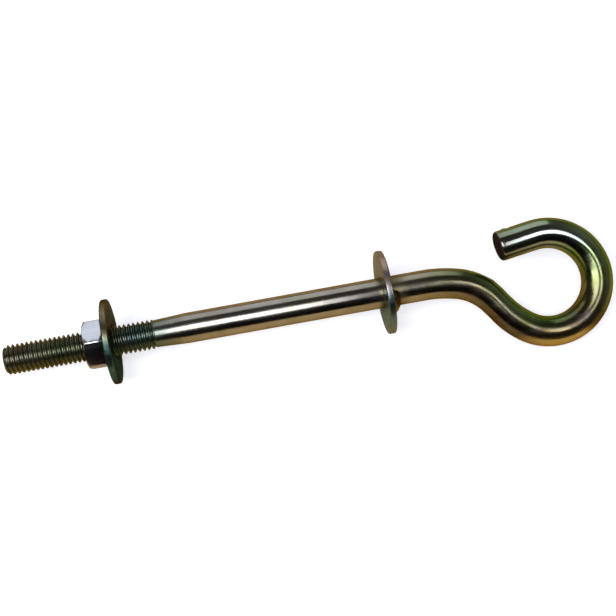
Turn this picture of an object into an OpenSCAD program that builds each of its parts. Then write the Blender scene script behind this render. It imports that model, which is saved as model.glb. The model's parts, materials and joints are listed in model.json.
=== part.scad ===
// Hook bolt: one bent steel rod with a rolled thread at one end and an open
// hook at the other, a washer welded on as a collar, a loose washer and a
// hex nut. Millimetres, +Z up. It lies as it comes to rest on a flat surface:
// on the rim of a washer and on the low side of the hook's loop.

/* [Rod] */
// Diameter of the bare rod
rod_d = 12.7; // [10:0.1:13.5]
// Straight length from the back of the collar to the start of the first bend
back_l = 14.7; // [8:0.1:60]

/* [Thread] */
// Length of the thread, from the end of the rod
thread_l = 61.8; // [50:0.1:70]
// Distance from one thread crest to the next
thread_pitch = 1.954; // [1.25:0.001:3]
// How far the thread crests stand below the surface of the bare rod
thread_relief = 0.1; // [0.05:0.01:0.3]
// Chamfer on the threaded end
thread_chamfer = 1.2; // [0.3:0.1:2]
// Plain neck behind the thread, at the diameter the thread was rolled from
neck_l = 2.5; // [1.5:0.1:5]
// Length of the taper from the neck up to the bare rod
taper_l = 11.9; // [4:0.1:16]

/* [Hook] */
// Centreline radius of the gentle start of the first bend
lead_r = 55; // [40:1:90]
// Angle of the gentle start of the first bend
lead_a = 15; // [8:1:20]
// Centreline radius of the tight part of the first bend
bend_r = 24; // [18:0.5:32]
// Angle of the tight part of the first bend
bend_a = 39.7; // [32:0.1:46]
// Straight length between the first bend and the loop
slope_l = 5.6; // [3:0.1:12]
// Centreline radius where the rod starts to turn into the loop
rise_r = 36; // [26:0.5:50]
// Angle over which the rod starts to turn into the loop
rise_a = 20; // [12:1:28]
// Centreline radius of the loop
loop_r = 20.4; // [17:0.1:24]
// Angle that the loop goes round
loop_a = 222.7; // [205:0.1:230]
// Straight length at the tip of the hook
tip_l = 15.4; // [8:0.1:18]
// Rounding on the edge of the tip
tip_round = 1.3; // [0.4:0.1:2.5]
// How much the rod's radius grows from a straight stretch to a bend
swell = 0.03; // [0.02:0.01:0.05]
// How far a thinner stretch of the hook reaches into the next, thicker one
lap = 0.1; // [0.05:0.01:0.2]

/* [Collar washer] */
// Distance from the threaded end to the bearing face of the collar
collar_x = 158.5; // [120:0.5:160]
// Outside diameter of the collar
collar_d = 34.9; // [30:0.1:38]
// Thickness of the collar
collar_t = 2.8; // [2:0.1:3.5]
// Radial gap between the collar and the rod
collar_gap = 0.05; // [0.03:0.01:0.15]

/* [Weld] */
// Leg of the weld, along the rod and up the collar
weld_leg = 4; // [2:0.1:4.5]
// Angle of the rod's circumference that the weld covers
weld_sweep = 130; // [60:1:200]
// Where the weld is centred, turned from the top side of the hook's plane
weld_turn = 150; // [90:1:210]

/* [Loose washer] */
// Outside diameter of the loose washer
washer_d = 35.7; // [30:0.1:38]
// Thickness of the loose washer
washer_t = 2.8; // [2:0.1:3.5]
// Radial play between the loose washer and the bare rod
washer_play = 0.8; // [0.3:0.05:1.5]
// Rounding on the rims of both washers
rim_round = 0.7; // [0.3:0.05:0.95]

/* [Nut] */
// Distance from the threaded end to the outer face of the nut
nut_x = 33.9; // [2:0.1:36]
// Nut size across its flats
nut_flats = 19.05; // [18:0.05:22]
// Height of the nut
nut_h = 9.2; // [7:0.1:12]
// Diameter of the round flat on each end of the nut
nut_face_d = 18.3; // [17:0.1:18.8]
// Slope of the nut's corner chamfer
nut_chamfer_a = 30; // [15:1:40]
// Countersink on each end of the nut's bore
nut_sink = 0.5; // [0.2:0.05:0.8]
// Radial running clearance between the nut and the thread
nut_play = 0.05; // [0.02:0.01:0.1]
// How far one corner of the nut is turned from the side that faces up
nut_turn = -6.7; // [-30:0.1:30]

/* [Hidden] */
$fn = 96;

rod_r = rod_d / 2;
thread_r = rod_r - thread_relief;
// A thread is rolled from a blank of its pitch diameter, 0.65 pitches smaller.
neck_r = rod_r - 0.65 * thread_pitch / 2;
collar_back = collar_x + collar_t;
straight_l = collar_back + back_l;
washer_x = nut_x + nut_h;

// Radius of the rod after a number of swells.
function tube_r(swells) = rod_r + swells * swell;
loop_tube_r = tube_r(1);

// Headings of the centreline in the hook's plane, in degrees from the rod.
lead_h = -lead_a;
bend_h = lead_h - bend_a;
rise_h = bend_h + rise_a;
loop_h = rise_h + loop_a;

// Unit vector to the left of a heading, which is where a left turn's centre is.
function left_of(h) = [-sin(h), cos(h)];
function along(h) = [cos(h), sin(h)];
function right_turn_end(p, h, r, a) = p - r * left_of(h) + r * left_of(h - a);
function left_turn_end(p, h, r, a) = p + r * left_of(h) - r * left_of(h + a);

// Where each stretch of the centreline starts, in the hook's plane.
lead_p = [straight_l, 0];
bend_p = right_turn_end(lead_p, 0, lead_r, lead_a);
slope_p = right_turn_end(bend_p, lead_h, bend_r, bend_a);
rise_p = slope_p + slope_l * along(bend_h);
loop_p = left_turn_end(rise_p, bend_h, rise_r, rise_a);
tip_p = left_turn_end(loop_p, rise_h, loop_r, loop_a);
loop_c = loop_p + loop_r * left_of(rise_h);

// At rest the larger washer and the low side of the loop stand on the surface,
// so the hook's plane leans by the angle that brings the loop down to it.
axis_h = max(collar_d, washer_d) / 2;
lean = asin((axis_h - loop_tube_r) / (loop_r - loop_c[1]));
size_x = loop_c[0] + loop_r + loop_tube_r;
low_y = (loop_c[1] - loop_r) * cos(lean) - loop_tube_r;
high_y = max((loop_c[1] + loop_r) * cos(lean) + loop_tube_r, axis_h);

// From the hook's own plane to the resting place, with the origin on the
// surface under the middle of the part.
module at_rest() {
    translate([-size_x / 2, -(low_y + high_y) / 2, axis_h])
        rotate([lean, 0, 0])
            children();
}

// Stands something turned about Z on the rod's axis, x along the rod.
module on_rod(x) {
    translate([x, 0, 0])
        rotate([0, 90, 0])
            children();
}

module straight_rod() {
    thread_end = thread_l + thread_relief + rod_r - neck_r;
    taper_start = thread_l + neck_l;
    on_rod(0)
        rotate_extrude()
            polygon([
                [0, 0],
                [thread_r - thread_chamfer, 0],
                [thread_r, thread_chamfer],
                [thread_r, thread_l],
                [neck_r, thread_end],
                [neck_r, taper_start],
                [rod_r, taper_start + taper_l],
                [rod_r, straight_l + lap],
                [0, straight_l + lap]
            ]);
}

// The stretches of the hook join as one solid because neighbours differ by a
// swell in radius and the thinner one reaches a lap into the thicker one.

// The angle that a length along the centreline covers on a bend of radius r.
function angle_of(l, r) = l / r * 180 / PI;

// A bend about the origin, from one angle through a sweep.
module turn(from_a, sweep_a, r, swells) {
    rotate([0, 0, from_a])
        rotate_extrude(angle = sweep_a)
            translate([r, 0])
                circle(r = tube_r(swells));
}

// A straight stretch from p on a heading, its children turned about it.
module stretch(p, h) {
    translate(p)
        rotate([0, 90, h])
            translate([0, 0, -lap])
                children();
}

module lead() {
    lap_a = angle_of(lap, lead_r);
    translate(lead_p - lead_r * left_of(0))
        turn(90 - lead_a - lap_a, lead_a + lap_a, lead_r, 1);
}

module bend() {
    translate(bend_p - bend_r * left_of(lead_h))
        turn(bend_h + 90, bend_a, bend_r, 2);
}

module slope() {
    stretch(slope_p, bend_h)
        cylinder(r = tube_r(1), h = slope_l + 2 * lap);
}

module rise() {
    translate(rise_p + rise_r * left_of(bend_h))
        turn(bend_h - 90, rise_a, rise_r, 2);
}

module loop() {
    lap_a = angle_of(lap, loop_r);
    translate(loop_c)
        turn(rise_h - 90 - lap_a, loop_a + lap_a, loop_r, 1);
}

module tip() {
    end = tip_l + lap;
    stretch(tip_p, loop_h)
        rotate_extrude() {
            square([rod_r, end - tip_round]);
            square([rod_r - tip_round, end]);
            translate([rod_r - tip_round, end - tip_round])
                circle(r = tip_round);
        }
}

module hook_bolt() {
    color("#9c9a86")
        at_rest() {
            straight_rod();
            lead();
            bend();
            slope();
            rise();
            loop();
            tip();
        }
}

// A punched washer with a rounded rim, lying on z = 0.
module washer(outer_d, bore_r, t) {
    flat_w = outer_d / 2 - bore_r;
    rotate_extrude()
        translate([bore_r, 0]) {
            square([flat_w - rim_round, t]);
            translate([0, rim_round])
                square([flat_w, t - 2 * rim_round]);
            for (y = [rim_round, t - rim_round])
                translate([flat_w - rim_round, y])
                    circle(r = rim_round);
        }
}

module collar_washer() {
    color("#a89474")
        at_rest()
            on_rod(collar_x)
                washer(collar_d, rod_r + collar_gap, collar_t);
}

// The fillet's face is an arc from the rod to the collar, crowned a little.
module weld_bead() {
    crown = 0.8 * weld_leg;
    face_r = norm([weld_leg + crown, crown]);
    color("#b98b3e")
        at_rest()
            on_rod(collar_back)
                rotate([0, 0, weld_turn + 90 - weld_sweep / 2])
                    rotate_extrude(angle = weld_sweep)
                        translate([rod_r, 0])
                            intersection() {
                                square(weld_leg);
                                translate([-crown, -crown])
                                    circle(r = face_r);
                            }
}

module loose_washer() {
    color("#8a7b54")
        at_rest()
            on_rod(washer_x)
                washer(washer_d, rod_r + washer_play, washer_t);
}

// A hexagonal bar cut to length, its corners turned off at both ends.
module nut_blank() {
    corner_r = nut_flats / 2 / cos(30);
    face_r = nut_face_d / 2;
    chamfer_h = (corner_r - face_r) * tan(nut_chamfer_a);
    intersection() {
        cylinder(r = corner_r, h = nut_h, $fn = 6);
        rotate_extrude()
            polygon([
                [0, 0],
                [face_r, 0],
                [corner_r, chamfer_h],
                [corner_r + 1, chamfer_h],
                [corner_r + 1, nut_h - chamfer_h],
                [corner_r, nut_h - chamfer_h],
                [face_r, nut_h],
                [0, nut_h]
            ]);
    }
}

// The bore of the nut, countersunk at both ends. It reaches past both faces.
module nut_bore() {
    bore_r = thread_r + nut_play;
    past = 1;
    rotate_extrude()
        polygon([
            [0, -past],
            [bore_r + nut_sink + past, -past],
            [bore_r, nut_sink],
            [bore_r, nut_h - nut_sink],
            [bore_r + nut_sink + past, nut_h + past],
            [0, nut_h + past]
        ]);
}

module hex_nut() {
    color("#d9d8cf")
        at_rest()
            on_rod(nut_x)
                rotate([0, 0, nut_turn])
                    difference() {
                        nut_blank();
                        nut_bore();
                    }
}

hook_bolt();
collar_washer();
weld_bead();
loose_washer();
hex_nut();
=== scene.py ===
# %% [markdown]
# A hook bolt, dressed for its portrait.
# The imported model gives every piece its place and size. This script keeps that frame
# and makes what a solid model leaves plain: the rolled thread, the marks of bending, the
# weld's ripples, and the thin yellow colour of zinc plating.

# %% Load the frame
import json
import math

import bmesh
import bpy
import numpy as np
from mathutils import Matrix, Vector


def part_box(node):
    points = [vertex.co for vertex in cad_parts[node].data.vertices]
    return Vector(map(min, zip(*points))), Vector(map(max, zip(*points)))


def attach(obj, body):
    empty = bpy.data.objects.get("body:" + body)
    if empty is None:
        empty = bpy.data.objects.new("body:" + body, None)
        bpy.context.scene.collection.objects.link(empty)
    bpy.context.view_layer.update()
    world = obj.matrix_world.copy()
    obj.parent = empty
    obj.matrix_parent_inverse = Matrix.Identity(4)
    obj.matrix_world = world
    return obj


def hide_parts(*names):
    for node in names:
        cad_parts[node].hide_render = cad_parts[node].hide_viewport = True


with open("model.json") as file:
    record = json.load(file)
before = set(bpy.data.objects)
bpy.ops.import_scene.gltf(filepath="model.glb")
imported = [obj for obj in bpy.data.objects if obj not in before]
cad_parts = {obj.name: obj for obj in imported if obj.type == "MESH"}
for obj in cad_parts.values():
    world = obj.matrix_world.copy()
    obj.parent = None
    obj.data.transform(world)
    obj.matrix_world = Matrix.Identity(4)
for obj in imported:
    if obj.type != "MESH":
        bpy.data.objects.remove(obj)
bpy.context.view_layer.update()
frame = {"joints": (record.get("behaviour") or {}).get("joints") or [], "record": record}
scene = bpy.context.scene

# %% [markdown]
# Every colour below is written as it would be picked on a screen. Shaders work in linear
# light, so one function turns a hex value into that. A second function adds a node, sets
# its options and links or fills its inputs, for shaders and Geometry Nodes alike.

# %% Two helpers
MM = 0.001


def linear(hex_colour):
    """Linear red, green, blue and alpha of an sRGB hex colour."""
    channels = [int(hex_colour[i:i + 2], 16) / 255 for i in (1, 3, 5)]
    return [c / 12.92 if c <= 0.04045 else ((c + 0.055) / 1.055) ** 2.4 for c in channels] + [1.0]


def add(tree, kind, settings=None, **inputs):
    """Adds a node; an input's name has _ for a space, or is i0, i1 and so on for its place."""
    node = tree.nodes.new(kind)
    for name, value in (settings or {}).items():
        setattr(node, name, value)
    for name, value in inputs.items():
        place = name[1:]
        socket = node.inputs[int(place) if name[0] == "i" and place.isdigit() else name.replace("_", " ")]
        if isinstance(value, bpy.types.NodeSocket):
            tree.links.new(value, socket)
        else:
            socket.default_value = value
    return node


print("the shank's silver in linear light:", [round(c, 3) for c in linear("#A89D8A")[:3]])

# %% [markdown]
# The maker's drawing is flat: x runs along the rod from its threaded end, y lies in the
# hook's plane, and z stands square to it. All sizes are in millimetres there. The bolt
# itself lies on the floor with that plane leaning, so each finished mesh is moved by one
# matrix, REST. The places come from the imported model, and the bends from the drawing.

# %% The drawing's sizes
mounts = {mount["name"]: mount for mount in frame["record"]["mounts"]}
turn_joint = next(joint for joint in frame["joints"] if joint["name"] == "nut_turn")
axis_y, axis_z = turn_joint["pos_m"][1:]
END_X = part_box("hook_bolt")[0].x
thread_r = mounts["thread"]["dims"]["r_mm"]
rod_r = mounts["shank"]["dims"]["r_mm"]
PITCH = 25.4 / 13
THREAD_L = 61.8
NECK_L = 2.5
TAPER_L = 11.9
STRAIGHT_L = 176
# The bar under a rolled thread is about as thick as the thread is at mid height.
neck_r = rod_r - 0.65 * PITCH / 2
STRETCHES = [  # length in millimetres, turn in radians
    (STRAIGHT_L, 0.0),
    (55 * math.radians(15), -math.radians(15)),
    (24 * math.radians(39.7), -math.radians(39.7)),
    (5.6, 0.0),
    (36 * math.radians(20), math.radians(20)),
    (20.4 * math.radians(222.7), math.radians(222.7)),
    (15.4, 0.0),
]
LENGTH = sum(length for length, _ in STRETCHES)
print(f"rod {2 * rod_r:.1f} mm thick and {LENGTH:.1f} mm long, thread {2 * thread_r:.1f} mm thick")


# %% Where the rod runs
def place(s):
    """Where the rod's centreline is, and its heading, at a length along it."""
    x, y, heading = 0.0, 0.0, 0.0
    for length, turn in STRETCHES:
        part = min(s, length)
        angle = turn * part / length
        if turn:
            radius = length / turn
            x += radius * (math.sin(heading + angle) - math.sin(heading))
            y -= radius * (math.cos(heading + angle) - math.cos(heading))
        else:
            x += part * math.cos(heading)
            y += part * math.sin(heading)
        heading += angle
        s -= part
        if s <= 0:
            break
    return x, y, heading


lowest = min(place(s)[1] for s in np.arange(STRAIGHT_L, LENGTH, 0.05))
lean = math.asin((axis_z / MM - rod_r) / -lowest)
REST = Matrix.Translation((END_X, axis_y, axis_z)) @ Matrix.Rotation(lean, 4, "X") @ Matrix.Scale(MM, 4)
along = Vector((1, 0, 0))
across = Vector((0, math.cos(lean), math.sin(lean)))
normal = along.cross(across)
print(f"hook's plane leans {math.degrees(lean):.1f} degrees")

# %% [markdown]
# The camera looks square at the hook's plane, rolled so that the rod climbs to the right.
# It is near enough to show the loose washer's right face and the collar's left face, and
# the lens is shifted a little because the picture's middle isn't where it points.

# %% The camera
ROLL = math.radians(10.22)
CAMERA_FOOT = Vector((102.2, 3.8, 0))
CAMERA_FAR = 437
LENS_MM = 61.5
LENS_SHIFT = 0.1
right = math.cos(ROLL) * along - math.sin(ROLL) * across
upward = math.sin(ROLL) * along + math.cos(ROLL) * across
camera = bpy.data.objects.new("camera", bpy.data.cameras.new("camera"))
scene.collection.objects.link(camera)
camera_turn = Matrix((right, upward, normal)).transposed().to_4x4()
camera.matrix_world = Matrix.Translation(REST @ CAMERA_FOOT + normal * CAMERA_FAR * MM) @ camera_turn
camera.data.lens = LENS_MM
camera.data.shift_x = LENS_SHIFT
scene.camera = camera
scene.view_settings.view_transform = "Standard"
print("camera at", [round(c, 3) for c in camera.matrix_world.translation])

# %% [markdown]
# Shiny metal shows its surroundings, so the floor and the room matter as much as the
# lamps. Across the rod, from its upper edge down, the eye meets the pale floor, a white
# card that stands behind, a dark gap, the wide lamp overhead, the dark near side of the
# room, and the floor again. The floor glows a little, which keeps it white to its corners
# and leaves the shadow on it. Where metal mirrors it, it is warmer and a good deal darker.

# %% The floor
FLOOR_M = 6
GLOW_SEEN = 0.55
GLOW_MIRRORED = 0.12
bpy.ops.mesh.primitive_plane_add(size=FLOOR_M)
floor = bpy.context.object
floor.name = "floor"
floor_paint = bpy.data.materials.new("white_floor")
floor_paint.use_nodes = True
tree = floor_paint.node_tree
tree.nodes.clear()
ray = add(tree, "ShaderNodeLightPath").outputs
to_eye = add(tree, "ShaderNodeMath", {"operation": "MULTIPLY"}, i0=ray["Is Camera Ray"], i1=GLOW_SEEN)
to_metal = add(tree, "ShaderNodeMath", {"operation": "MULTIPLY"}, i0=ray["Is Glossy Ray"], i1=GLOW_MIRRORED)
glow_level = add(tree, "ShaderNodeMath", {"operation": "ADD"}, i0=to_eye.outputs[0], i1=to_metal.outputs[0])
glow_tint = add(tree, "ShaderNodeMix", {"data_type": "RGBA"}, i0=ray["Is Camera Ray"],
                i6=linear("#FFD8A0"), i7=linear("#FFFFFF"))
glow = add(tree, "ShaderNodeEmission", Color=glow_tint.outputs[2], Strength=glow_level.outputs[0])
warmth = add(tree, "ShaderNodeMix", {"data_type": "RGBA"}, i0=ray["Is Glossy Ray"],
             i6=linear("#F2ECE2"), i7=linear("#E8CE98"))
paint = add(tree, "ShaderNodeBsdfDiffuse", Color=warmth.outputs[2])
lit_floor = add(tree, "ShaderNodeAddShader", i0=glow.outputs[0], i1=paint.outputs[0])
add(tree, "ShaderNodeOutputMaterial", Surface=lit_floor.outputs[0])
floor.data.materials.append(floor_paint)
print("floor", floor.dimensions.x, "m wide")

# %% [markdown]
# A tube mirrors a lamp as a bright line along it, and a wide lamp gives that line soft
# ends. The wide lamp's middle stands past the threaded end and it lights the whole rod,
# the small one stands past the hook and lights its top, and the card brightens the upper
# edge from behind. All three are a little cool, as daylight is. An area lamp's brightness
# is a quarter of its watts a square metre, so its energy follows from level and size.

# %% The lamps
WATTS_A_LEVEL = 4


def soft_lamp(name, middle_x, turn, far, size, level, colour):
    """A lit rectangle facing the rod, turn degrees up from the camera's side, as bright as level."""
    lamp = bpy.data.objects.new(name, bpy.data.lights.new(name, "AREA"))
    scene.collection.objects.link(lamp)
    lamp.data.shape = "RECTANGLE"
    lamp.data.size, lamp.data.size_y = size
    lamp.data.energy = WATTS_A_LEVEL * level * size[0] * size[1]
    lamp.data.color = linear(colour)[:3]
    way = math.cos(math.radians(turn)) * normal + math.sin(math.radians(turn)) * across
    there = Matrix.Translation(REST @ Vector((middle_x, 0, 0)) + way * far)
    lamp.matrix_world = there @ Matrix((along, way.cross(along), way)).transposed().to_4x4()
    at = [round(c, 3) for c in lamp.matrix_world.translation]
    print(name, "at", at, "energy", round(lamp.data.energy, 2))


soft_lamp("wide_lamp", -236, 4, 0.75, (0.85, 0.4), 5.2, "#DCE4FF")
soft_lamp("small_lamp", 455, 3.5, 0.75, (0.12, 0.3), 6.0, "#DCE8FF")
soft_lamp("white_card", 60, 84, 0.9, (1.1, 0.75), 0.9, "#DCE8FF")

# %% [markdown]
# The room is nearly black in front of the bolt and grey behind it, with a pale wall past
# the hook. Seen directly it is an even pale grey. A world has no mesh, so Generated is
# simply the way that a ray leaves in, and its parts pick the side of the room.

# %% The room
NEAR_SIDE = 0.008
FAR_SIDE = 0.2
HOOK_SIDE = 0.6
room = bpy.data.worlds.new("dim_room")
scene.world = room
room.use_nodes = True
tree = room.node_tree
backdrop = tree.nodes["Background"]
seen_directly = add(tree, "ShaderNodeLightPath").outputs["Is Camera Ray"]
wall = add(tree, "ShaderNodeMix", {"data_type": "RGBA"}, i0=seen_directly,
           i6=linear("#8A8A90"), i7=linear("#DEDEE0"))
tree.links.new(wall.outputs[2], backdrop.inputs["Color"])
ray_way = add(tree, "ShaderNodeTexCoord").outputs["Generated"]
way_out = add(tree, "ShaderNodeSeparateXYZ", Vector=ray_way).outputs
behind = add(tree, "ShaderNodeMapRange", Value=way_out["Y"], From_Min=-0.35, From_Max=0.15,
             To_Min=NEAR_SIDE, To_Max=FAR_SIDE)
past_hook = add(tree, "ShaderNodeMapRange", Value=way_out["X"], From_Min=0.4, From_Max=0.8,
                To_Max=HOOK_SIDE)
lit = add(tree, "ShaderNodeMath", {"operation": "ADD"}, i0=behind.outputs[0], i1=past_hook.outputs[0])
level = add(tree, "ShaderNodeMix", {"data_type": "FLOAT"}, i0=seen_directly, i2=lit.outputs[0], i3=1.0)
tree.links.new(level.outputs[0], backdrop.inputs["Strength"])
print("room has", len(tree.nodes), "nodes")

# %% [markdown]
# The finish is bright zinc plating with a yellow passivation: steel dipped in an
# electroplating bath and then in a chromate rinse. The film is thinner than a wavelength
# of light, so its thickness shows as colour, from silver through straw and gold to olive
# green. It drifts with the place, because the rinse ran down the piece as it hung. Ramps
# along the piece and up it give that drift, and they also paint shade and reflections
# into the colour as darker and lighter bands. On one side a green sheen is painted.

# %% Colour by place
# The side on which a green sheen is painted into the plating's colour.
GREEN_SHEEN_SIDE = tuple(REST.to_3x3().normalized() @ Vector((0.8, 0.6, 0)))
GREEN_SHEEN_MOST = 0.8


def ramp_of(tree, value, stops):
    """Colours along a value, from a rising list of (value, linear colour)."""
    start, end = stops[0][0], stops[-1][0]
    share = add(tree, "ShaderNodeMapRange", Value=value, From_Min=start, From_Max=end)
    ramp = add(tree, "ShaderNodeValToRGB", Fac=share.outputs[0])
    marks = ramp.color_ramp.elements
    while len(marks) < len(stops):
        marks.new(0.5)
    for mark, (at, colour) in zip(marks, stops):
        mark.position = (at - start) / (end - start)
        mark.color = colour
    return ramp.outputs["Color"]


def by_place(tree, along_it, up_it, course, climb, takes_over):
    """Tint and wear along the piece, up it, or the first giving way to the second; the tints can hold
    painted shade.
    """
    looks = []
    for value, stops in ((along_it, course), (up_it, climb)):
        if stops:
            tint = ramp_of(tree, value, [(at, linear(colour)) for at, colour, _ in stops])
            worn = ramp_of(tree, value, [(at, (rough, rough, rough, 1)) for at, _, rough in stops])
            looks.append((tint, worn))
    if len(looks) == 1:
        return looks[0]
    share = add(tree, "ShaderNodeMapRange", Value=along_it, From_Min=takes_over[0], From_Max=takes_over[1])
    blends = [add(tree, "ShaderNodeMix", {"data_type": "RGBA"}, i0=share.outputs[0], i6=first, i7=second)
              for first, second in zip(*looks)]
    return [blend.outputs[2] for blend in blends]


def paint_green_sheen(tree, tint, along_it, green_sheen_tint, green_from, green_to):
    """Paints a green sheen into a tint where the piece faces the green side, past a place along it."""
    own_normal = add(tree, "ShaderNodeTexCoord").outputs["Normal"]
    faces = add(tree, "ShaderNodeVectorMath", {"operation": "DOT_PRODUCT"}, i0=own_normal, i1=GREEN_SHEEN_SIDE)
    # How much green sheen is painted, by how far the surface faces that side.
    thick = add(tree, "ShaderNodeMapRange", Value=faces.outputs["Value"], From_Min=0.05, From_Max=0.6,
                To_Max=GREEN_SHEEN_MOST)
    there = add(tree, "ShaderNodeMapRange", Value=along_it, From_Min=green_from, From_Max=green_to)
    share = add(tree, "ShaderNodeMath", {"operation": "MULTIPLY"}, i0=thick.outputs[0], i1=there.outputs[0])
    greened = add(tree, "ShaderNodeMix", {"data_type": "RGBA"}, i0=share.outputs[0],
                  i6=tint, i7=linear(green_sheen_tint))
    return greened.outputs[2]


print("green side faces", [round(c, 2) for c in GREEN_SHEEN_SIDE])

# %% [markdown]
# The film is patchy too, which a noise gives, and the same noise lets the ramps' borders
# wander. Another noise, drawn out along the rod, streaks the gloss, and a finer one gives
# the drawn bar's lines as bump. The real lines are about a tenth of a millimetre wide,
# too fine to show, so they are drawn half a millimetre wide or more. A Mapping node turns
# Object coordinates, the frame's metres, into the drawing's millimetres, so every pattern
# is sized in real ones.

# %% Plated zinc
TO_DRAWING = REST.inverted()
PATCHES_FROM = 0.36
PATCHES_TO = 0.64
WANDER_MM = 6.0
STREAK_MM = 3
DRAWN_OUT = (0.12, 1, 1)
DULL_LEAST = 0.8
DULL_MOST = 1.25


def plated_zinc(name, patches, edge, course=(), climb=(), takes_over=None, green=None,
                patch_mm=10, patch_share=0.3, line_mm=0.5, line_height=0.01):
    """Zinc plate; course and climb list (mm along or up, tint, roughness), edge is the grazing tint; the
    tints can hold painted shade.
    """
    material = bpy.data.materials.new(name)
    material.use_nodes = True
    tree = material.node_tree
    surface = tree.nodes["Principled BSDF"]
    surface.inputs["Metallic"].default_value = 1.0
    surface.inputs["Specular Tint"].default_value = linear(edge)
    in_frame = add(tree, "ShaderNodeTexCoord").outputs["Object"]
    coords = add(tree, "ShaderNodeMapping", Vector=in_frame, Scale=(1 / MM, 1 / MM, 1 / MM),
                 Rotation=(-lean, 0, 0), Location=TO_DRAWING.translation).outputs[0]
    noise = add(tree, "ShaderNodeTexNoise", Vector=coords, Scale=1 / patch_mm, Detail=3.0, Roughness=0.6)
    patchy = noise.outputs["Fac"]
    wander = add(tree, "ShaderNodeMath", {"operation": "MULTIPLY_ADD"}, i0=patchy,
                 i1=WANDER_MM, i2=-WANDER_MM / 2).outputs[0]
    spot = add(tree, "ShaderNodeSeparateXYZ", Vector=coords).outputs
    along_it = add(tree, "ShaderNodeMath", {"operation": "ADD"}, i0=spot["X"], i1=wander).outputs[0]
    up_it = add(tree, "ShaderNodeMath", {"operation": "ADD"}, i0=spot["Y"], i1=wander).outputs[0]
    tint, worn = by_place(tree, along_it, up_it, course, climb, takes_over)
    # A painted green sheen on one side.
    if green:
        tint = paint_green_sheen(tree, tint, along_it, *green)
    levels = np.linspace(PATCHES_FROM, PATCHES_TO, len(patches))
    patch_tint = ramp_of(tree, patchy, [(at, linear(colour)) for at, colour in zip(levels, patches)])
    film = add(tree, "ShaderNodeMix", {"data_type": "RGBA"}, i0=patch_share, i6=tint, i7=patch_tint)
    tree.links.new(film.outputs[2], surface.inputs["Base Color"])
    drawn_out = add(tree, "ShaderNodeMapping", Vector=coords, Scale=DRAWN_OUT).outputs[0]
    streaks = add(tree, "ShaderNodeTexNoise", Vector=drawn_out, Scale=1 / STREAK_MM, Detail=2.0)
    dull = add(tree, "ShaderNodeMapRange", Value=streaks.outputs["Fac"], From_Min=0.3, From_Max=0.7,
               To_Min=DULL_LEAST, To_Max=DULL_MOST)
    rough = add(tree, "ShaderNodeMath", {"operation": "MULTIPLY"}, i0=worn, i1=dull.outputs[0])
    tree.links.new(rough.outputs[0], surface.inputs["Roughness"])
    lines = add(tree, "ShaderNodeTexNoise", Vector=drawn_out, Scale=1 / line_mm, Detail=3.0)
    bump = add(tree, "ShaderNodeBump", Height=lines.outputs["Fac"], Distance=line_height * MM, Strength=1.0)
    tree.links.new(bump.outputs[0], surface.inputs["Normal"])
    print("finish", name, "with", len(course) + len(climb), "places and", len(patches), "patch tints")
    return material


# %% [markdown]
# The rod is drawn mild steel bar, plated after bending. Its threads held the rinse and
# went dull and olive, with a teal stretch beside the loose washer, and the weld's heat
# browned the bar beside it. In the double bend the colour is painted darkest, as shade.
# The hook is gold underneath, a painted reflection of the floor, then a dark brown band of
# painted shade, olive halfway up and silver at the top, with a painted green sheen where
# it faces out and up.

# %% The rod's finish
rod_plate = plated_zinc(
    "yellow_zinc_plate_on_bar",
    patches=["#74664E", "#968A70", "#ACA492", "#9A9460", "#748048"],
    edge="#BFA878",
    course=[
        (0, "#6E6A50", 0.34), (45, "#5C6650", 0.34), (56, "#4C6860", 0.32), (62, "#5C705F", 0.3),
        (76, "#9C917C", 0.2), (100, "#A89D8A", 0.18), (150, "#A39884", 0.18), (158, "#988A72", 0.22),
        (162, "#6E5A3E", 0.4), (165.5, "#7E6C4E", 0.36), (170, "#A4967C", 0.2), (186, "#8C7C60", 0.2),
        # The dark browns at 200 and 214 mm are painted shade in the double bend.
        (200, "#54402C", 0.22), (214, "#463428", 0.24),
    ],
    climb=[
        # Up the hook: gold underneath is a painted floor reflection, and the dark browns above it are
        # painted shade.
        (-36, "#C8A878", 0.22), (-31, "#CCAC64", 0.22), (-27, "#4C361C", 0.24), (-23, "#44321C", 0.24),
        (-17, "#6A6236", 0.22), (-6, "#767E44", 0.2), (3, "#728448", 0.18), (8, "#98A292", 0.16),
        (18, "#ACA49A", 0.16),
    ],
    takes_over=(192, 224),
    # A painted green sheen on the side facing out and up.
    green=("#78A04E", 178, 198),
    patch_mm=14,
    patch_share=0.2,
)

# %% [markdown]
# The washers are punched strip, tumbled and plated. Tumbling leaves them duller than the
# drawn bar. They are brown above and teal below, and the lower half is painted darker, as
# shade. The collar is the paler of the two.

# %% The washers' finishes
washer_plate = plated_zinc(
    "yellow_zinc_plate_on_punched_washer",
    patches=["#3E4230", "#6E7050", "#7F9A98", "#8E7A50"],
    edge="#74807A",
    # Teal and darker on the lower half is painted shade.
    climb=[(-18, "#7A5648", 0.34), (-15, "#2C524C", 0.34), (-3, "#2A4E48", 0.34), (5, "#766A48", 0.34),
           (18, "#86683E", 0.34)],
    patch_mm=5,
    patch_share=0.25,
    line_mm=0.8,
)
collar_plate = plated_zinc(
    "yellow_zinc_plate_on_collar",
    patches=["#7A6254", "#A89484", "#7A9690", "#BCA48A"],
    edge="#B4C4C0",
    # Teal and darker on the lower half is painted shade.
    climb=[(-17.5, "#A08468", 0.3), (-13, "#54706E", 0.3), (-3, "#5C7472", 0.3), (5, "#B0947C", 0.3),
           (17, "#A8886A", 0.3)],
    patch_mm=5,
    patch_share=0.25,
    line_mm=0.8,
)
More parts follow.
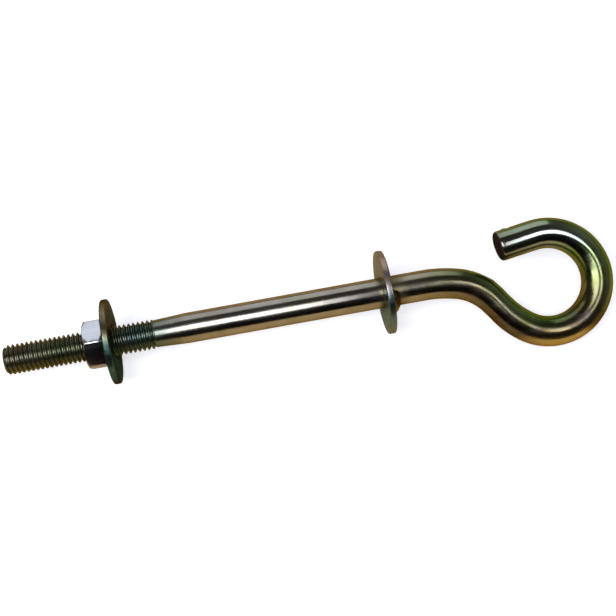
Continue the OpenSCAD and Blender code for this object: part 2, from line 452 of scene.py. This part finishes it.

# %% [markdown]
# The nut is cold formed and barrel plated in a clear bath, so it is the palest piece,
# and its lower half is painted a dark red-brown, as shade. The weld is a steel bead under
# the plating, with the colour of old brass in its ripples. The cut ends are sheared steel
# that took little plating, dark and dull.

# %% The other finishes
nut_plate = plated_zinc(
    "clear_zinc_plate_on_nut",
    patches=["#C4BEB4", "#E2E0DA", "#D2CCC0"],
    edge="#E0DCD4",
    # The lower half's dark red-brown is painted shade.
    climb=[(-11, "#6A4448", 0.2), (-4, "#744C50", 0.2), (0, "#D8D4D0", 0.2), (11, "#DCDAD4", 0.2)],
    patch_mm=8,
    line_mm=0.8,
)
weld_plate = plated_zinc(
    "zinc_plate_on_weld",
    patches=["#3A3426", "#6A5836", "#B8924E"],
    edge="#8C7850",
    climb=[(-12, "#8A7040", 0.36), (-8, "#CBA258", 0.34), (-5.5, "#524C30", 0.4), (4, "#3C3A26", 0.4)],
    patch_mm=2,
    patch_share=0.5,
    line_mm=0.8,
    line_height=0.03,
)
sheared = plated_zinc(
    "thinly_plated_sheared_steel",
    patches=["#3A322A", "#5A5044", "#6A5C48"],
    edge="#7A6648",
    course=[(-1, "#5A4A3C", 0.5), (255, "#4C463C", 0.5)],
    patch_mm=3,
    patch_share=0.4,
    line_mm=0.6,
    line_height=0.03,
)

# %% [markdown]
# The rod follows a path, and its thread is a rule: at each point the depth of the cut
# depends only on how far along and how far round it lies. Geometry Nodes suit both.
# A curve carries the path and the radius of each ring, Curve to Mesh sweeps it, and Set
# Position pushes the threaded stretch inwards by the rule of a 60 degree thread.
# Sixteen rings to a pitch keep the crests sharp. Past the last full turn the thread runs
# out, and the bar narrows to a neck and widens again to the shank.

# %% The rod's path as a curve
RINGS_PER_PITCH = 16
SIDES = 80
TIP_ROUND = 1.3
RUN_OUT = 0.9 * PITCH
STRAIGHT_STEP = 1.5
BEND_STEP = 0.9
thread_rings = np.arange(0, THREAD_L + PITCH, PITCH / RINGS_PER_PITCH)
rod_rings = np.arange(THREAD_L + PITCH + 0.5, STRAIGHT_L, STRAIGHT_STEP)
bend_rings = np.arange(STRAIGHT_L, LENGTH - TIP_ROUND, BEND_STEP)
tip_turn = np.linspace(0, math.pi / 2, 9)
tip_rings = LENGTH - TIP_ROUND + TIP_ROUND * np.sin(tip_turn)
stations = np.concatenate([thread_rings, rod_rings, bend_rings[:-1], tip_rings])
radii = np.interp(
    stations,
    [THREAD_L, THREAD_L + RUN_OUT, THREAD_L + NECK_L, THREAD_L + NECK_L + TAPER_L],
    [thread_r, neck_r, neck_r, rod_r],
)
radii[-len(tip_rings):] = rod_r - TIP_ROUND * (1 - np.cos(tip_turn))
route = bpy.data.curves.new("rod_path", "CURVE")
route.dimensions = "3D"
spline = route.splines.new("POLY")
spline.points.add(len(stations) - 1)
for point, s, radius in zip(spline.points, stations, radii):
    x, y, _ = place(s)
    point.co = (x, y, 0, 1)
    point.radius = radius
rod_path = bpy.data.objects.new("rod_path", route)
scene.collection.objects.link(rod_path)
print("rod path", len(stations), "rings")


# %% Starting, ending and running a tree
def new_tree(name, sizes):
    """A Geometry Nodes tree with named size inputs, and the sockets of those inputs."""
    tree = bpy.data.node_groups.new(name, "GeometryNodeTree")
    tree.interface.new_socket("Geometry", in_out="INPUT", socket_type="NodeSocketGeometry")
    for size in sizes:
        tree.interface.new_socket(size, in_out="INPUT", socket_type="NodeSocketFloat")
    tree.interface.new_socket("Finish", in_out="INPUT", socket_type="NodeSocketMaterial")
    tree.interface.new_socket("Geometry", in_out="OUTPUT", socket_type="NodeSocketGeometry")
    return tree, add(tree, "NodeGroupInput").outputs


def finish_tree(tree, geometry, finish):
    """Ends a tree in real geometry with its material."""
    real = add(tree, "GeometryNodeRealizeInstances", Geometry=geometry)
    coated = add(tree, "GeometryNodeSetMaterial", Geometry=real.outputs[0], Material=finish)
    add(tree, "NodeGroupOutput", Geometry=coated.outputs[0])
    print("tree", tree.name, "has", len(tree.nodes), "nodes")


def grow(name, source, tree, values):
    """Runs a tree on an object and returns its result as a plain mesh object."""
    modifier = source.modifiers.new("grow", "NODES")
    modifier.node_group = tree
    for item in tree.interface.items_tree:
        if item.in_out == "INPUT" and item.name in values:
            modifier[item.identifier] = values[item.name]
    bpy.context.view_layer.update()
    graph = bpy.context.evaluated_depsgraph_get()
    mesh = bpy.data.meshes.new_from_object(source.evaluated_get(graph), depsgraph=graph)
    mesh.name = name
    source.modifiers.remove(modifier)
    piece = bpy.data.objects.new(name, mesh)
    scene.collection.objects.link(piece)
    return piece


# %% The tree that sweeps and threads the rod
CREST_FLAT = 1 / 16
FLANK_SLOPE = math.tan(math.pi / 3)
tree, given = new_tree("swept_threaded_rod", ["Pitch", "Thread length", "Depth", "Crest radius", "Run-out"])
sides = add(tree, "GeometryNodeCurvePrimitiveCircle", Resolution=SIDES, Radius=1.0)
ring_size = add(tree, "GeometryNodeInputRadius")
swept = add(tree, "GeometryNodeCurveToMesh", Curve=given["Geometry"], Profile_Curve=sides.outputs[0],
            Scale=ring_size.outputs[0], Fill_Caps=True)
spot = add(tree, "ShaderNodeSeparateXYZ", Vector=add(tree, "GeometryNodeInputPosition").outputs[0]).outputs
around = add(tree, "ShaderNodeMath", {"operation": "ARCTAN2"}, i0=spot["Z"], i1=spot["Y"])
turns_round = add(tree, "ShaderNodeMath", {"operation": "DIVIDE"}, i0=around.outputs[0], i1=2 * math.pi)
turns_along = add(tree, "ShaderNodeMath", {"operation": "DIVIDE"}, i0=spot["X"], i1=given["Pitch"])
turns = add(tree, "ShaderNodeMath", {"operation": "SUBTRACT"}, i0=turns_along.outputs[0],
            i1=turns_round.outputs[0])
to_crest = add(tree, "ShaderNodeMath", {"operation": "PINGPONG"}, i0=turns.outputs[0], i1=0.5)
past_crest = add(tree, "ShaderNodeMath", {"operation": "SUBTRACT"}, i0=to_crest.outputs[0], i1=CREST_FLAT)
flank = add(tree, "ShaderNodeMath", {"operation": "MULTIPLY"}, i0=past_crest.outputs[0], i1=FLANK_SLOPE)
flank_drop = add(tree, "ShaderNodeMath", {"operation": "MULTIPLY"}, i0=flank.outputs[0], i1=given["Pitch"])
cut = add(tree, "ShaderNodeClamp", Value=flank_drop.outputs[0], Min=0.0, Max=given["Depth"])
fade_from = add(tree, "ShaderNodeMath", {"operation": "SUBTRACT"}, i0=given["Thread length"],
                i1=given["Run-out"])
fade = add(tree, "ShaderNodeMapRange", Value=spot["X"], From_Min=fade_from.outputs[0],
           From_Max=given["Thread length"], To_Min=1.0, To_Max=0.0)
faded = add(tree, "ShaderNodeMath", {"operation": "MULTIPLY"}, i0=cut.outputs[0], i1=fade.outputs[0])
from_axis = add(tree, "ShaderNodeCombineXYZ", Y=spot["Y"], Z=spot["Z"]).outputs[0]
reach = add(tree, "ShaderNodeVectorMath", {"operation": "LENGTH"}, i0=from_axis).outputs["Value"]
threaded = add(tree, "ShaderNodeMath", {"operation": "SUBTRACT"}, i0=reach, i1=faded.outputs[0])
root = add(tree, "ShaderNodeMath", {"operation": "SUBTRACT"}, i0=given["Crest radius"], i1=given["Depth"])
chamfer = add(tree, "ShaderNodeMath", {"operation": "ADD"}, i0=root.outputs[0], i1=spot["X"])
limited = add(tree, "ShaderNodeMath", {"operation": "MINIMUM"}, i0=threaded.outputs[0],
              i1=chamfer.outputs[0])
shrink = add(tree, "ShaderNodeMath", {"operation": "DIVIDE"}, i0=limited.outputs[0], i1=reach)
inward = add(tree, "ShaderNodeVectorMath", {"operation": "SCALE"}, i0=from_axis, Scale=shrink.outputs[0])
onward = add(tree, "ShaderNodeCombineXYZ", X=spot["X"])
moved = add(tree, "ShaderNodeVectorMath", {"operation": "ADD"}, i0=inward.outputs[0], i1=onward.outputs[0])
is_thread = add(tree, "ShaderNodeMath", {"operation": "LESS_THAN"}, i0=spot["X"],
                i1=given["Thread length"])
cut_rod = add(tree, "GeometryNodeSetPosition", Geometry=swept.outputs[0], Selection=is_thread.outputs[0],
              Position=moved.outputs[0])
finish_tree(tree, cut_rod.outputs[0], given["Finish"])

# %% Grow the rod
THREAD_DEPTH = 0.6134 * PITCH
rod = grow("bolt_rod", rod_path, tree, {
    "Pitch": PITCH, "Thread length": THREAD_L + RUN_OUT, "Depth": THREAD_DEPTH,
    "Crest radius": thread_r, "Run-out": RUN_OUT, "Finish": rod_plate,
})
bpy.data.objects.remove(rod_path)
print("rod", len(rod.data.vertices), "points,", len(rod.data.polygons), "faces")

# %% [markdown]
# A real bend is not a perfect tube: the bar flattens a little in the plane of the bend and
# spreads square to it, the forming die leaves a ridge on the shoulder, and the shear that
# cut the bar left a lip near the tip with a hollow beside it. The mesh is a row of rings,
# so these marks are short moves of its points.

# %% Marks of bending and cutting
FLAT_AT = 210.3
FLAT_WIDE = 6
FLAT_SHARE = 0.04
# Each mark: mm along, width in mm, turn round the rod and spread in radians, height in mm.
RIDGE = (202.0, 1.1, 0.1, 0.5, 0.25)
LIP = (LENGTH - 4.6, 0.8, math.pi, 0.35, 0.3)
HOLLOW = (LENGTH - 6.2, 0.8, math.pi, 0.35, -0.24)


def bell(distance, width):
    """A smooth bump of height 1, about as wide as its width."""
    return np.exp(-(distance / width) ** 2)


def mark(s, width, turn, spread, height):
    """How far one mark pushes each point of the rings outwards, in millimetres."""
    aside = (round_it - turn + math.pi) % (2 * math.pi) - math.pi
    return height * np.outer(bell(stations - s, width), np.ones(SIDES)) * bell(aside, spread)


points = np.zeros(len(rod.data.vertices) * 3)
rod.data.vertices.foreach_get("co", points)
rings = points.reshape(len(stations), SIDES, 3)
middles = rings.mean(axis=1, keepdims=True)
offsets = rings - middles
headings = np.array([place(s)[2] for s in stations])
leftward = np.stack([-np.sin(headings), np.cos(headings), 0 * headings], axis=1)
round_it = np.arctan2(offsets[:, :, 2], np.einsum("ijk,ik->ij", offsets, leftward))
pushed = (mark(*RIDGE) + mark(*LIP) + mark(*HOLLOW)) / np.maximum(np.linalg.norm(offsets, axis=2), 1)
offsets *= (1 + pushed)[:, :, None]
# The bar spreads half as much as it flattens.
flattened = (FLAT_SHARE * bell(stations - FLAT_AT, FLAT_WIDE))[:, None]
sideways = np.einsum("ijk,ik->ij", offsets, leftward) * flattened
offsets -= leftward[:, None, :] * sideways[:, :, None]
offsets[:, :, 2] *= 1 + 0.5 * flattened
rings[:] = middles + offsets
rod.data.vertices.foreach_set("co", points)
print(f"marks move the skin by up to {np.abs(pushed).max() * rod_r:.2f} mm")

# %% Finish the rod
BARE_RINGS = 6
SHARP_EDGE = math.radians(40)
rod.data.materials.append(sheared)
rounding_from = (len(stations) - BARE_RINGS) * SIDES
for face in rod.data.polygons:
    if len(face.vertices) == SIDES or min(face.vertices) >= rounding_from:
        face.material_index = 1
rod.data.transform(REST)
rod.data.shade_smooth()
rod.data.set_sharp_from_angle(angle=SHARP_EDGE)
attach(rod, "bolt")
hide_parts("hook_bolt")
print("rod box", [round(c, 4) for c in rod.bound_box[0]], [round(c, 4) for c in rod.bound_box[6]])

# %% [markdown]
# Both washers are punched from strip, and the tumbling rounds the edges of the rim and
# the bore. One tree sweeps a rounded rectangle round a circle, and two objects grow from
# it with their own sizes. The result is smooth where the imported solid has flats.

# %% The tree for a washer
WASHER_SIDES = 144
EDGE_STEPS = 6
tree, given = new_tree("punched_washer", ["Outer radius", "Bore radius", "Thickness", "Edge"])
wide = add(tree, "ShaderNodeMath", {"operation": "SUBTRACT"}, i0=given["Outer radius"],
           i1=given["Bore radius"])
middle = add(tree, "ShaderNodeMath", {"operation": "MULTIPLY_ADD"}, i0=wide.outputs[0], i1=0.5,
             i2=given["Bore radius"])
section = add(tree, "GeometryNodeCurvePrimitiveQuadrilateral", Width=wide.outputs[0],
              Height=given["Thickness"])
rounded = add(tree, "GeometryNodeFilletCurve", {"mode": "POLY"}, Curve=section.outputs[0],
              Radius=given["Edge"], Count=EDGE_STEPS)
circle = add(tree, "GeometryNodeCurvePrimitiveCircle", Resolution=WASHER_SIDES, Radius=middle.outputs[0])
ring = add(tree, "GeometryNodeCurveToMesh", Curve=circle.outputs[0], Profile_Curve=rounded.outputs[0])
finish_tree(tree, ring.outputs[0], given["Finish"])

# %% Grow both washers
seed = bpy.data.objects.new("seed", bpy.data.meshes.new("seed"))
scene.collection.objects.link(seed)
STAND_UP = Matrix.Rotation(math.pi / 2, 4, "Y")
WASHER_EDGE = 0.6


def washer(name, node, body, play, finish):
    """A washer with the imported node's sizes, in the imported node's place."""
    lowest_corner, highest_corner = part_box(node)
    size = (highest_corner - lowest_corner) / MM
    piece = grow(name, seed, tree, {
        "Outer radius": size.z / 2, "Bore radius": rod_r + play, "Thickness": size.x,
        "Edge": WASHER_EDGE, "Finish": finish,
    })
    middle_x = (lowest_corner.x + highest_corner.x) / 2
    piece.data.transform(Matrix.Translation((middle_x, axis_y, axis_z)) @ Matrix.Scale(MM, 4) @ STAND_UP)
    piece.data.shade_smooth()
    piece.data.set_sharp_from_angle(angle=SHARP_EDGE)
    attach(piece, body)
    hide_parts(node)
    print(name, "is", [round(c, 2) for c in size], "mm, drawn", [round(c / MM, 2) for c in piece.dimensions])


washer("punched_washer", "loose_washer", "washer", 0.8, washer_plate)
washer("welded_collar", "collar_washer", "bolt", 0.05, collar_plate)
bpy.data.objects.remove(seed)

# %% [markdown]
# The nut is a hexagonal bar whose corners were turned off by a cone, which leaves the
# curved edge that every nut has. That edge is where the cone's radius meets the
# hexagon's, so one formula gives it all the way round. The bore carries the same thread
# rule as the rod, a hair's breadth outside it, so that the two stay in mesh as the nut turns.

# %% The nut's outside
NUT_FLATS = 19.05
NUT_FACE_R = 9.15
NUT_CORNER_TURN = math.radians(83.3)
NUT_SIDES = 216
CORNER_WEAR = 0.15
CONE_SLOPE = math.tan(math.radians(30))
NEAR_EDGE = 0.9
EDGE_EASE = 0.12
nut_low, nut_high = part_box("hex_nut")
nut_from = (nut_low.x - END_X) / MM
nut_h = (nut_high.x - nut_low.x) / MM
around_nut = np.arange(NUT_SIDES) * 2 * math.pi / NUT_SIDES
from_flat = (around_nut - NUT_CORNER_TURN) % (math.pi / 3) - math.pi / 6
hexagon = np.minimum(NUT_FLATS / 2 / np.cos(from_flat), NUT_FLATS / 2 / math.cos(math.pi / 6) - CORNER_WEAR)
turned_off = (hexagon - NUT_FACE_R) * CONE_SLOPE
near_edge_r = NUT_FACE_R + (hexagon - NUT_FACE_R) * NEAR_EDGE
full_ring = np.ones(NUT_SIDES)
nut_rings = [
    (0 * full_ring, NUT_FACE_R * full_ring),
    (turned_off * NEAR_EDGE, near_edge_r),
    (turned_off + EDGE_EASE, hexagon),
    (nut_h - turned_off - EDGE_EASE, hexagon),
    (nut_h - turned_off * NEAR_EDGE, near_edge_r),
    (nut_h * full_ring, NUT_FACE_R * full_ring),
]
print(f"nut {nut_h:.2f} mm high, from {nut_from:.2f} mm along the rod")

# %% The nut's thread
NUT_SINK = 0.5
NUT_PLAY = 0.05
NUT_THREAD_DEPTH = 0.5413 * PITCH
nut_bore = thread_r + NUT_PLAY
for x in np.linspace(nut_h, 0, int(nut_h * RINGS_PER_PITCH / PITCH)):
    turns = (nut_from + x) / PITCH - around_nut / (2 * math.pi)
    off_crest = np.abs(turns - np.round(turns)) * PITCH
    depth = np.clip((off_crest - CREST_FLAT * PITCH - NUT_PLAY) * FLANK_SLOPE, 0, NUT_THREAD_DEPTH)
    mouth = nut_bore + NUT_SINK - min(x, nut_h - x)
    nut_rings.append((x * full_ring, np.maximum(nut_bore - depth, mouth)))
print("nut has", len(nut_rings), "rings")

# %% A mesh from rings
CREASE = math.radians(38)


def mesh_of_rings(name, ring_points, material, loop_back=True):
    """A closed mesh from rings of points; the last ring meets the first, or both ends get caps."""
    count, sides_each = len(ring_points), len(ring_points[0])
    corners = [tuple(point) for ring in ring_points for point in ring]
    faces = []
    for i in range(count if loop_back else count - 1):
        for j in range(sides_each):
            here, there = i * sides_each, (i + 1) % count * sides_each
            following = (j + 1) % sides_each
            faces.append((here + j, here + following, there + following, there + j))
    if not loop_back:
        faces.append(tuple(range(sides_each)))
        faces.append(tuple(range((count - 1) * sides_each, count * sides_each)))
    mesh = bpy.data.meshes.new(name)
    mesh.from_pydata(corners, [], faces)
    work = bmesh.new()
    work.from_mesh(mesh)
    bmesh.ops.recalc_face_normals(work, faces=work.faces)
    work.to_mesh(mesh)
    work.free()
    mesh.materials.append(material)
    mesh.transform(REST)
    mesh.shade_smooth()
    mesh.set_sharp_from_angle(angle=CREASE)
    piece = bpy.data.objects.new(name, mesh)
    scene.collection.objects.link(piece)
    print(name, len(mesh.vertices), "points,", len(mesh.polygons), "faces")
    return piece


# %% The nut
nut_points = [
    np.stack([nut_from + x, r * np.cos(around_nut), r * np.sin(around_nut)], axis=1) for x, r in nut_rings
]
nut = mesh_of_rings("hexagon_nut", nut_points, nut_plate)
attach(nut, "nut")
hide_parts("hex_nut")

# %% [markdown]
# The weld is one short run of bead in the corner between rod and collar. Each drop of the
# puddle froze in its turn, which leaves ripples about a millimetre apart, and the run
# starts and stops with a rounded end. Sections of the fillet stand round the rod, each a
# little swollen or shrunk by the ripple.

# %% The weld
WELD_LEG = 4.0
WELD_CROWN = 3.2
WELD_MIDDLE = math.radians(150)
WELD_SWEEP = math.radians(130)
RIPPLE_MM = 1.1
RIPPLE_SHARE = 0.03
MEAN_SIZE = 0.965
SUNK = 0.1
WELD_SECTIONS = 120
FACE_STEPS = 10
collar_back = (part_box("collar_washer")[1].x - END_X) / MM
crown_r = math.hypot(WELD_LEG + WELD_CROWN, WELD_CROWN)
crown_turn = math.asin(WELD_CROWN / crown_r)
over_face = np.linspace(crown_turn, math.pi / 2 - crown_turn, FACE_STEPS)
weld_sections = []
for share in np.linspace(-1, 1, WELD_SECTIONS):
    turn = WELD_MIDDLE + share * WELD_SWEEP / 2
    arc_mm = share * WELD_SWEEP / 2 * rod_r
    ripple = RIPPLE_SHARE * math.sin(2 * math.pi * arc_mm / RIPPLE_MM)
    swell = (1 - abs(share) ** 7) ** 0.4 * (MEAN_SIZE + ripple)
    leg_x = (crown_r * np.cos(over_face) - WELD_CROWN) * swell
    leg_r = (crown_r * np.sin(over_face) - WELD_CROWN) * swell
    x = np.concatenate([[-SUNK], leg_x, [-SUNK]]) + collar_back
    r = np.concatenate([[-SUNK], leg_r, [max(leg_r) * 0.9]]) + rod_r
    weld_sections.append(np.stack([x, r * math.cos(turn), r * math.sin(turn)], axis=1))
weld = mesh_of_rings("weld_run", weld_sections, weld_plate, loop_back=False)
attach(weld, "bolt")
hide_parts("weld_bead")
